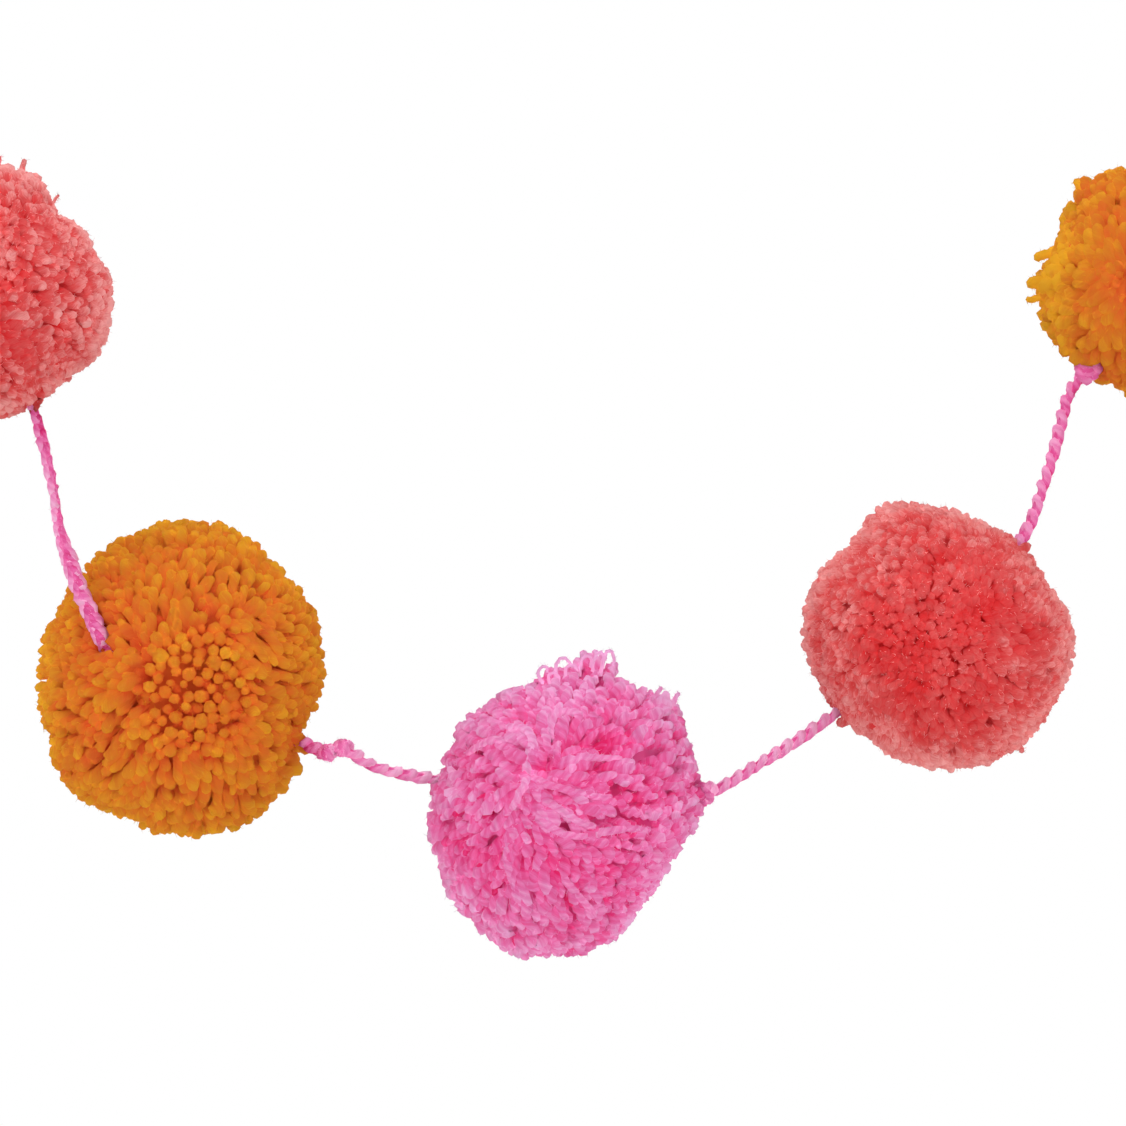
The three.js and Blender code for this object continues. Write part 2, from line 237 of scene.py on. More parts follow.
class Yarn:
    """Points, faces, shading normals, tone and grain of a growing mesh. Tone runs from 0, deep, to 1,
    light, and holds painted shade and light as well as the yarn's own mottle. Grain is where a point lies
    round its yarn and along it."""

    SKIN_UNEVENNESS = 0.09
    DOME_HEIGHT = 0.55
    # The dome at each end's tip is painted paler, a painted highlight.
    DOME_PAINTED_HIGHLIGHT = 0.06
    SPUN_LENGTH = 400
    SLIVER_TURNS = (0, 2.1, 4.2)

    def __init__(self):
        self.points = []
        self.faces = []
        self.normals = []
        self.tone = []
        self.grain = []
        self.count = 0

    def add(self, points, faces, normals, tone, grain):
        """Adds points with their faces, which count from the first of these points."""
        self.points.append(points.reshape(-1, 3))
        self.normals.append(unit(np.broadcast_to(normals, points.shape)).reshape(-1, 3))
        self.faces += [f.reshape(-1, f.shape[-1]) + self.count for f in faces]
        self.tone.append(np.broadcast_to(tone, points.shape[:-1]).reshape(-1))
        self.grain.append(np.broadcast_to(grain, points.shape).reshape(-1, 3))
        self.count += self.points[-1].shape[0]

    def tubes(self, lines, radii, sides, upright, tone, outward, closed=False):
        """Round yarns along lines, an array of yarns by steps by 3. Each ends in a dome, or joins its start.
        Outward is the way out of the whole bundle. The longer it is, the more the yarns shade as one soft
        surface, as yarns under loose fibres do."""
        yarns, steps, _ = lines.shape
        if closed:
            along = unit(np.roll(lines, -1, 1) - np.roll(lines, 1, 1))
        else:
            along = unit(np.gradient(lines, axis=1))
        first = unit(upright - (upright * along).sum(-1, keepdims=True) * along)
        second = np.cross(along, first)
        turn = np.arange(sides) / sides * 2 * math.pi
        spokes = np.cos(turn)[:, None] * first[:, :, None]
        spokes = spokes + np.sin(turn)[:, None] * second[:, :, None]
        unevenness = np.random.default_rng(yarns + 1).standard_normal((yarns, steps, sides, 1))
        uneven = 1 + self.SKIN_UNEVENNESS * unevenness
        points = lines[:, :, None] + radii[:, :, None, None] * uneven * spokes
        gone = np.cumsum(np.linalg.norm(np.diff(lines, axis=1, prepend=lines[:, :1]), axis=2), axis=1)
        strand = np.random.default_rng(yarns).uniform(0, self.SPUN_LENGTH, (yarns, 1, 1))
        shape = (yarns, steps, sides)
        grain = np.stack(np.broadcast_arrays(np.cos(turn), np.sin(turn), gone[:, :, None] + strand), -1)
        index = np.arange(yarns * steps * sides).reshape(shape)
        low, high = (index, np.roll(index, -1, 1)) if closed else (index[:, :-1], index[:, 1:])
        faces = [np.stack([low, np.roll(low, -1, 2), np.roll(high, -1, 2), high], -1)]
        tone = np.broadcast_to(tone[:, :, None], shape)
        normals = spokes + outward[:, :, None]
        if closed:
            self.add(points, faces, normals, tone, grain)
            return points
        caps = yarns * steps * sides + np.arange(yarns * 2).reshape(yarns, 2, 1).repeat(sides, 2)
        foot, crown = index[:, 0], index[:, -1]
        faces.append(np.stack([np.roll(foot, -1, 1), foot, caps[:, 0]], -1))
        faces.append(np.stack([crown, np.roll(crown, -1, 1), caps[:, 1]], -1))
        dome = lines[:, -1] + along[:, -1] * radii[:, -1:] * self.DOME_HEIGHT
        ends = np.stack([lines[:, 0], dome], 1)
        end_grain = np.concatenate([np.zeros((yarns, 2, 2)), grain[:, [0, -1], 0, 2:]], -1)
        end_normals = along[:, [0, -1]] * [[-2], [1]] + outward[:, [0, -1]]
        end_tone = tone[:, [0, -1], 0].reshape(-1) + [0, self.DOME_PAINTED_HIGHLIGHT] * yarns
        self.add(
            np.concatenate([points.reshape(-1, 3), ends.reshape(-1, 3)]),
            faces,
            np.concatenate([normals.reshape(-1, 3), end_normals.reshape(-1, 3)]),
            np.concatenate([tone.reshape(-1), end_tone]),
            np.concatenate([grain.reshape(-1, 3), end_grain.reshape(-1, 3)]),
        )
        return points

    def fibres(self, roots, ways, lengths, width, normals, tone, random):
        """Loose fibres, each a fine three-sided sliver that stands off its yarn."""
        across = unit(np.cross(ways, random.standard_normal(ways.shape)))
        beside = np.cross(unit(ways), across)
        corners = []
        for turn in self.SLIVER_TURNS:
            corners.append(roots + width * (math.cos(turn) * across + math.sin(turn) * beside))
        points = np.stack([*corners, roots + ways * lengths[:, None]], 1)
        index = np.arange(len(roots) * 4).reshape(-1, 4)
        faces = index[:, [[0, 1, 3], [1, 2, 3], [2, 0, 3], [2, 1, 0]]]
        grain = np.repeat(random.uniform(0, self.SPUN_LENGTH, (len(roots), 1, 3)), 4, 1)
        self.add(points, [faces], normals[:, None], tone[:, None], grain)

    def piece(self, name, material):
        """The finished mesh as an object at the origin."""
        mesh = bpy.data.meshes.new(name)
        points = np.concatenate(self.points)
        mesh.vertices.add(len(points))
        mesh.vertices.foreach_set("co", (points * MM).astype(np.float32).ravel())
        sizes = np.concatenate([np.full(len(f), f.shape[1]) for f in self.faces])
        corners = np.concatenate([f.ravel() for f in self.faces])
        mesh.loops.add(len(corners))
        mesh.loops.foreach_set("vertex_index", corners.astype(np.int32))
        mesh.polygons.add(len(sizes))
        mesh.polygons.foreach_set("loop_start", (np.cumsum(sizes) - sizes).astype(np.int32))
        mesh.polygons.foreach_set("use_smooth", np.ones(len(sizes), bool))
        mesh.update(calc_edges=True)
        mesh.normals_split_custom_set_from_vertices(np.concatenate(self.normals))
        tone = mesh.attributes.new("tone", "FLOAT", "POINT")
        tone.data.foreach_set("value", np.concatenate(self.tone).astype(np.float32))
        grain = mesh.attributes.new("grain", "FLOAT_VECTOR", "POINT")
        grain.data.foreach_set("vector", np.concatenate(self.grain).astype(np.float32).ravel())
        mesh.materials.append(material)
        piece = bpy.data.objects.new(name, mesh)
        scene.collection.objects.link(piece)
        return piece


def add_node(tree, kind, settings=None, links=None):
    """Adds a node, sets its settings or its input values, and links its inputs."""
    node = tree.nodes.new(kind)
    for name, value in (settings or {}).items():
        if isinstance(name, int) or name in node.inputs:
            node.inputs[name].default_value = value
        else:
            setattr(node, name, value)
    for name, output in (links or {}).items():
        tree.links.new(output, node.inputs[name])
    return node


def yarn_material(name, ramp_colours, soften_mm, ply_depth, ply_mm, fibre_mm):
    """Spun acrylic yarn. Its fine fibres make it matt and let light through, so it looks soft, and its
    hollows glow. It is two-ply, so a groove crosses it at each ply_mm of its length, painted darker as
    shade, with painted light on the rounds between. Its fibres are about 0.02 mm thick, too fine to show, so
    they are drawn as coarser streaks along the twist."""
    fibre_draw = 0.15
    relief_mm = 0.3
    relief_strength = 0.3
    dye_lot_mm = 9

    # The ply groove's painted shade and the rounds' painted light, the fibre streaks and the uneven dye
    # change the yarn's tone by these shares, less what they add on average.
    groove_shade_and_streak_share = 0.42
    dye_share = 0.45
    usual_share = 0.43

    material = bpy.data.materials.new(name)
    material.use_nodes = True
    tree = material.node_tree
    shader = tree.nodes["Principled BSDF"]
    shader.inputs["Roughness"].default_value = 0.9
    shader.inputs["Specular IOR Level"].default_value = 0.05
    shader.subsurface_method = "BURLEY"
    shader.inputs["Subsurface Weight"].default_value = 1.0
    shader.inputs["Subsurface Radius"].default_value = (1, 0.85, 0.85)
    shader.inputs["Subsurface Scale"].default_value = soften_mm * MM
    tone = add_node(tree, "ShaderNodeAttribute", {"attribute_name": "tone"})
    grain = add_node(tree, "ShaderNodeAttribute", {"attribute_name": "grain"})
    along = add_node(tree, "ShaderNodeSeparateXYZ", None, {"Vector": grain.outputs["Vector"]})
    twist = add_node(
        tree, "ShaderNodeMath", {"operation": "MULTIPLY", 1: math.pi / ply_mm}, {0: along.outputs["Z"]}
    )
    spun = add_node(
        tree,
        "ShaderNodeVectorRotate",
        {"rotation_type": "Z_AXIS"},
        {"Vector": grain.outputs["Vector"], "Angle": twist.outputs["Value"]},
    )
    drawn_out = add_node(
        tree,
        "ShaderNodeVectorMath",
        {"operation": "MULTIPLY", 1: (1, 1, fibre_draw)},
        {0: spun.outputs["Vector"]},
    )
    fibres = add_node(
        tree,
        "ShaderNodeTexNoise",
        {"Scale": 1 / fibre_mm, "Detail": 2.0},
        {"Vector": drawn_out.outputs["Vector"]},
    )
    around = add_node(tree, "ShaderNodeSeparateXYZ", None, {"Vector": spun.outputs["Vector"]})
    ply = add_node(
        tree,
        "ShaderNodeMath",
        {"operation": "MULTIPLY"},
        {0: around.outputs["X"], 1: around.outputs["X"]},
    )
    relief = add_node(
        tree,
        "ShaderNodeMath",
        {"operation": "MULTIPLY_ADD", 1: ply_depth},
        {0: ply.outputs["Value"], 2: fibres.outputs["Fac"]},
    )
    place = add_node(tree, "ShaderNodeTexCoord")
    dye = add_node(
        tree,
        "ShaderNodeTexNoise",
        {"Scale": 1 / (dye_lot_mm * MM), "Detail": 1.0},
        {"Vector": place.outputs["Object"]},
    )
    streaks = add_node(
        tree,
        "ShaderNodeMath",
        {"operation": "MULTIPLY_ADD", 1: groove_shade_and_streak_share},
        {0: relief.outputs["Value"], 2: tone.outputs["Fac"]},
    )
    level = add_node(
        tree,
        "ShaderNodeMath",
        {"operation": "MULTIPLY_ADD", 1: dye_share},
        {0: dye.outputs["Fac"], 2: streaks.outputs["Value"]},
    )
    settled = add_node(
        tree, "ShaderNodeMath", {"operation": "SUBTRACT", 1: usual_share}, {0: level.outputs["Value"]}
    )
    ramp = add_node(tree, "ShaderNodeValToRGB", None, {"Fac": settled.outputs["Value"]})
    stops = ramp.color_ramp.elements
    for stop, (position, colour) in ((stops[0], ramp_colours[0]), (stops[1], ramp_colours[-1])):
        stop.position = position
        stop.color = linear(colour)
    for position, colour in ramp_colours[1:-1]:
        stops.new(position).color = linear(colour)
    tree.links.new(ramp.outputs["Color"], shader.inputs["Base Color"])
    bump = add_node(
        tree,
        "ShaderNodeBump",
        {"Strength": relief_strength, "Distance": relief_mm * MM},
        {"Height": relief.outputs["Value"]},
    )
    tree.links.new(bump.outputs["Normal"], shader.inputs["Normal"])
    return material


random = np.random.default_rng(7)
cord_yarn = Yarn()
chain_line = smooth_line(cord_points, STITCH_PITCH)
chain_along = unit(np.gradient(chain_line, axis=0))
stitches = len(chain_line)
chain_x = chain_line[:, 0]
chain_z = chain_line[:, 2]
on_left = chain_x < LEFT_STRETCH_END

# The chain shows its broad face where it lies over the orange pompom, and is turned on edge elsewhere.
over_orange = eased_below(chain_z, *OVER_ORANGE_BELOW) * eased_below(chain_x, *OVER_ORANGE_LEFT_OF)
chain_turn = EDGE_TURN * (1 - over_orange) + WAVER * np.sin(np.arange(stitches) * WAVER_A_STITCH)
chain_turn = chain_turn + TURN_UNEVENNESS * random.standard_normal(stitches)
chain_size = np.where(on_left, LEFT_CHAIN_SIZE, CHAIN_SIZE)
chain_size = (chain_size + BROAD_FACE_GROWTH * over_orange)[:, None]
level_side = unit(np.cross(chain_along, np.array([0.0, 1.0, 0.0])))
level_front = np.cross(level_side, chain_along)
side = np.cos(chain_turn)[:, None] * level_side + np.sin(chain_turn)[:, None] * level_front
front = np.cos(chain_turn)[:, None] * level_front - np.sin(chain_turn)[:, None] * level_side

# Each stitch is a drawn-up loop, narrow where it leaves the stitch before and wide where the next is drawn
# through it.
loop_turn = np.arange(LOOP_POINTS) / LOOP_POINTS * 2 * math.pi
loop_side = CHAIN_HALF_WIDTH * np.sin(loop_turn) * (1 - LOOP_NARROWING * np.cos(loop_turn))
loop_along = -STITCH_LENGTH / 2 * np.cos(loop_turn)
tilt_side = np.where(on_left, 1, -1)[:, None]
loop_front = -CHAIN_HALF_DEPTH * np.cos(2 * loop_turn) - tilt_side * LOOP_TILT * np.cos(loop_turn)
loops = (
    chain_line[:, None]
    + (chain_size * loop_side)[:, :, None] * side[:, None]
    + loop_along[:, None] * chain_along[:, None]
    + (chain_size * loop_front)[:, :, None] * front[:, None]
)
loop_unevenness = LOOP_UNEVENNESS * random.standard_normal((stitches, LOOP_POINTS))
plumpness = 1 - LOOP_PLUMPING * np.cos(loop_turn) + loop_unevenness
loop_radii = CHAIN_YARN_RADIUS * chain_size * plumpness

# The yarn is a deeper rose above the orange pompom, at the double knot and on the way to the last pompom.
height, width, more = DEEPER_ABOVE_ORANGE
deeper = more * fading(chain_z - height, width) * on_left
place, width, more = DEEPER_AT_DOUBLE_KNOT
deeper = deeper + more * fading(chain_x - place, width)
place, width, more = DEEPER_TO_LAST_POMPOM
deeper = deeper + more * (1 - eased_below(chain_x, place, width))
loop_mottle = LOOP_MOTTLE * random.standard_normal((stitches, 1))
# Painted light and shade: each loop is painted pale on its wide round and deep where it narrows out of the
# stitch before.
loop_tone = LOOP_TONE - LOOP_PAINTED_SHADING * np.cos(loop_turn) + loop_mottle
loop_tone = loop_tone - deeper[:, None] + BROAD_FACE_PALER * over_orange[:, None]
loop_outward = CORD_SOFTNESS * unit(loops - chain_line[:, None])
loop_skin = cord_yarn.tubes(
    loops, loop_radii, LOOP_SIDES, front[:, None], loop_tone, loop_outward, closed=True
)
# A core runs along the middle of the chain in a deep tone, painted shade that shows between the loops.
core_line = smooth_line(cord_points, CORE_STEP)[None]
core_shape = core_line.shape[:2]
core_radii = np.full(core_shape, CORE_RADIUS)
core_tone = np.full(core_shape, CORE_PAINTED_SHADE)
core_upright = np.array([0.0, 1.0, 0.0])
core_outward = np.zeros(core_line.shape)
cord_yarn.tubes(core_line, core_radii, CORE_SIDES, core_upright, core_tone, core_outward)

# A knot is a few turns of the chain pulled tight round it, one of them crossing the others.
wrap_turn = np.arange(KNOT_TURN_POINTS) / KNOT_TURN_POINTS * 2 * math.pi
wrap_tone = np.array([tone for _, _, tone in KNOT_TURNS])[:, None]
wrap_tone = wrap_tone + KNOT_TONE_CHANGE * np.sin(wrap_turn)
skins = [loop_skin.reshape(-1, 3)]
outwards = [unit(loop_skin - chain_line[:, None, None]).reshape(-1, 3)]
for *knot, size in KNOTS:
    nearest = np.linalg.norm(chain_line - np.array(knot), axis=1).argmin()
    wraps = []
    for lean, slide, _ in KNOT_TURNS:
        bulge = KNOT_REACH * (1 - KNOT_END_TAPER * abs(slide))
        round_side = np.cos(wrap_turn)[:, None] * side[nearest] * bulge
        round_front = np.sin(wrap_turn)[:, None] * front[nearest] * bulge
        climb = (slide + lean * KNOT_LEAN_REACH * np.cos(wrap_turn))[:, None] * chain_along[nearest]
        wraps.append(np.array(knot) + size * (round_side + round_front + climb))
    wraps = np.array(wraps)
    wrap_unevenness = KNOT_YARN_UNEVENNESS * random.standard_normal(wraps.shape[:2])
    wrap_radii = size * KNOT_YARN_RADIUS * (1 + wrap_unevenness)
    outward = unit(wraps - np.array(knot))
    wrap_outward = 2 * CORD_SOFTNESS * outward
    wrap_skin = cord_yarn.tubes(
        wraps, wrap_radii, LOOP_SIDES, outward, wrap_tone, wrap_outward, closed=True
    )
    # A knot's skin is counted twice, so that it gets more loose fibres than the chain.
    skins.append(np.tile(wrap_skin.reshape(-1, 3), (2, 1)))
    outwards.append(unit(skins[-1] - np.array(knot)))

skin = np.concatenate(skins)
chosen = random.integers(0, len(skin), CORD_FIBRES)
outward = np.concatenate(outwards)[chosen]
ways = unit(outward + CORD_FIBRE_SPREAD * random.standard_normal(outward.shape))
fibre_lengths = random.uniform(*CORD_FIBRE_LENGTHS, CORD_FIBRES)
fibre_tone = np.full(CORD_FIBRES, CORD_FIBRE_TONE)
cord_yarn.fibres(skin[chosen], ways, fibre_lengths, CORD_FIBRE_WIDTH, outward, fibre_tone, random)

# Crocheted acrylic yarn in a clear pink: matt, painted pale on the rounds of its loops as light and a deep
# rose between them as shade.
cord_material = yarn_material(
    "crocheted_acrylic_yarn_pink",
    [(0.0, "#CC286C"), (0.3, "#D85898"), (0.6, "#E284B6"), (1.0, "#ECB0D2")],
    soften_mm=2,
    ply_depth=0.5,
    ply_mm=2.2,
    fibre_mm=0.4,
)
cord = cord_yarn.piece("crocheted_cord", cord_material)
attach(cord, "root")
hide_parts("cord")
[tuple(p) for p in smooth_line(cord_points, PATH_STEP) * MM]

# The left coral pompom: hundreds of lengths of soft yarn tied hard round their middle on the cord, so that
# their cut ends stand out as a ball, then fluffed and trimmed. It is ragged on top, and fans out to the
# right. Sizes are in millimetres, and x and z run from a pompom's middle.
GOLDEN_ANGLE = math.pi * (3 - math.sqrt(5))
LUMP_FINENESS = 9
LOCK_FINENESS = 24
RIPPLE_SPREAD = (0.6, 1.4)
SWELL_LIMITS = (-0.08, 0.012)
TUFT_WIDTH = 0.14
SHALLOWEST = 0.15
PARTING_STEP = 2.5
cord_line = smooth_line(cord_points, PARTING_STEP)

# A long end starts at its root, bends at its knee and comes out at its tip, in rings along it. The shares
# are of the way from the pompom's middle to its outside.
STRAND_RINGS = np.array([0, 0.35, 0.62, 0.82, 0.94, 1.0])
STRAND_PROFILE = np.array([0.85, 0.95, 1.0, 1.06, 1.0, 0.64])
ROOT_SHARE = 0.7
ROOT_LEAN = 0.8
KNEE_SHARE = 0.9
KNEE_RISE = 0.16
KNEE_LEAN = 0.55
DOME_ALLOWANCE = 0.7
UNEVEN_LIMITS = (-0.04, 0.015)

# Ends that lean over wander more than ends that stand, and those that face out in the end_on patch least.
LIE_REACH = 1.3
END_ON_LEAN = 0.42
END_ON_CALM = 0.7
EVEN_SHARE = 0.8
LOOSE_STANDING = 0.2
LOOSE_LEANING = 1.3
SWAY = 0.12
SWAY_FINENESS = 7
LEAN_UNEVENNESS = 0.14
THICKNESS_UNEVENNESS = 0.15
THICKNESS_LIMITS = (0.6, 1.4)
RING_UNEVENNESS = 0.06
CORD_PARTING = 3.6

# A long end is painted in shade below this share of its reach, and near the cord. Each pompom says how much
# painted light makes its tips and its edge paler. The usual values are taken off, which keeps its tone as a
# whole.
SHADE_ENDS = 0.87
LONG_END_TONE = 0.6
TIP_SHARPNESS = 6
TIP_USUAL = 0.25
EDGE_USUAL = 0.3
CORD_SHADE = 0.3
CORD_SHADE_WIDTH = 5

# The shorter ends, the heart, the loose fibres, and the ends that stray or lie over.
SHORT_RINGS = np.array([0, 0.55, 0.9, 1.0])
SHORT_PROFILE = np.array([1.0, 1.05, 0.95, 0.6])
SHORT_ROOT_SHARE = 0.8
SHORT_ROOT_LEAN = 0.5
SHORT_LEAN = 0.8
SHORT_LEAN_UNEVENNESS = 0.12
SHORT_SCATTER = 0.35
SHORT_FILL_SPREAD = (-0.03, 0.02)
SHORT_SIDES = 5
SHORT_END_TONE = 0.7
SHORT_EDGE_USUAL = 0.1
SHORT_MOTTLE = 0.08
HEART_SUBDIVISIONS = 5
HEART_GRAIN = 0.5
HEART_SUNK = 0.04
HEART_UNEVENNESS = 0.013
HEART_FINENESS = 45
HEART_PAINTED_SHADE = 0.2
HEART_MOTTLE = 0.1
HEART_MOTTLE_FINENESS = 60
FIBRE_LENGTHS = (0.5, 1.4)
FIBRE_WIDTH = 0.06
FIBRE_OFF = 0.4
FIBRE_AHEAD = 0.8
FIBRE_SPREAD = 0.4
FIBRE_SOFTNESS = 0.5
FIBRE_PALER = 0.15
STRAY_STEP = 0.8
STRAY_SIDES = 6
STRAY_TAPER = 0.7
STRAY_UNEVENNESS = 0.12
STRAY_SOFTNESS = 0.5
STRAY_FIBRES = 60
STRAY_FIBRE_LENGTHS = (0.4, 1.1)
STRAY_FIBRE_WIDTH = 0.05
STRAY_FIBRE_SPREAD = 0.5
STRAY_FIBRE_PALER = 0.1
LYING_LIFT = 0.3
LYING_ROOT_DEPTH = 2.5
LYING_TIP_DEPTH = 0.6


def front_direction(x, z, radius):
    """The direction from a pompom's middle to the place on its front at x and z from the middle."""
    depth = math.sqrt(max(radius**2 - x**2 - z**2, (SHALLOWEST * radius) ** 2))
    return unit(np.array([x, -depth, z]))


def apart_from(x, z, radius, directions):
    """How far each direction lies from the place on the front at x and z, measured over the ball."""
    return np.arccos(np.clip(directions @ front_direction(x, z, radius), -1, 1)) * radius


def front_flip(directions):
    """What turns directions on the back to the front, so that a pompom's back is laid as its front is."""
    return np.where(directions[:, 1:2] > 0, [1, -1, 1], [1, 1, 1])


def edge_on(directions):
    """How near each direction is to the outline, from 0 at the front's middle to 1 at the outline."""
    return directions[:, 0] ** 2 + directions[:, 2] ** 2


def ripple(random, fineness, waves=7):
    """A function that gives a smooth uneven value, about -1 to 1, for each of many directions."""
    bends = fineness * unit(random.standard_normal((waves, 3))) * random.uniform(*RIPPLE_SPREAD, (waves, 1))
    starts = random.uniform(0, 2 * math.pi, waves)
    return lambda directions: np.sin(directions @ bends.T + starts).sum(1) / math.sqrt(waves)


def reach(pompom, directions):
    """How far the yarn ends reach from the middle in each direction."""
    rim = np.array(pompom["rim"], float)
    compass = np.arctan2(directions[:, 2], directions[:, 0]) / (2 * math.pi) % 1 * len(rim)
    before = np.floor(compass).astype(int) % len(rim)
    blend = compass - np.floor(compass)
    blend = blend**2 * (3 - 2 * blend)
    at_rim = rim[before] * (1 - blend) + rim[(before + 1) % len(rim)] * blend
    out = pompom["depth"] * (1 - edge_on(directions)) + at_rim * edge_on(directions)
    for degrees, extra in pompom["tufts"]:
        turn = math.radians(degrees)
        apart = np.arccos(np.clip(directions @ np.array([math.cos(turn), 0, math.sin(turn)]), -1, 1))
        out = out + extra * fading(apart, TUFT_WIDTH)
    return out


def hollow(pompom, directions):
    """How deep the ends are parted at each direction."""
    facing = directions * front_flip(directions)
    deep = np.zeros(len(directions))
    for x, z, width, depth in pompom["partings"]:
        deep = np.maximum(deep, depth * fading(apart_from(x, z, pompom["depth"], facing), width))
    return deep


def trimmed_surface(pompom, random):
    """A function that gives how far the pompom reaches in each direction, with its lumps and partings."""
    lump = ripple(random, LUMP_FINENESS)
    lock = ripple(random, LOCK_FINENESS)

    def surface(directions):
        swell = pompom["lumps"] * lump(directions) + pompom["locks"] * lock(directions)
        reached = reach(pompom, directions) - DOME_ALLOWANCE
        return reached * (1 + np.clip(swell, *SWELL_LIMITS)) - hollow(pompom, directions)

    return surface


def lay(pompom, directions):
    """How the ends lie over: away from the eye where they stand up, and with each comb's sweep near it."""
    flip = front_flip(directions)
    facing = directions * flip
    radius = pompom["depth"]
    eye_x, eye_z, eye_width, strength, twist = pompom["eye"]
    apart = apart_from(eye_x, eye_z, radius, facing)
    away = facing - front_direction(eye_x, eye_z, radius)
    away = unit(away - (away * facing).sum(1, keepdims=True) * facing)
    away = math.cos(twist) * away + math.sin(twist) * np.cross(facing, away)
    rise = 1 - fading(apart, eye_width)
    over = (strength * rise * fading(apart, LIE_REACH * radius))[:, None] * away
    for x, z, width, sweep_x, sweep_z in pompom["combs"]:
        weight = fading(apart_from(x, z, radius, facing), width)[:, None]
        over = over * (1 - weight) + weight * np.array([sweep_x, 0, sweep_z])
    x, z, width = pompom["end_on"]
    weight = fading(apart_from(x, z, radius, facing), width, 4)[:, None]
    over = over * (1 - weight) + weight * END_ON_LEAN * np.array([0, -1, 0])
    over = over - (over * facing).sum(1, keepdims=True) * facing
    return over * flip


def even_directions(count, random, scatter, calm=None):
    """Directions spread evenly over a ball, each moved a little, but less where it is calm."""
    height = 1 - (2 * np.arange(count) + 1) / count
    turn = np.arange(count) * GOLDEN_ANGLE
    across = np.sqrt(1 - height**2)
    directions = np.stack([across * np.cos(turn), height, across * np.sin(turn)], 1)
    move = scatter * math.sqrt(4 * math.pi / count) * random.standard_normal((count, 3))
    if calm:
        x, z, width, radius = calm
        calmed = fading(apart_from(x, z, radius, directions), width, 4)
        move = move * (1 - EVEN_SHARE * calmed)[:, None]
    return unit(directions + move)


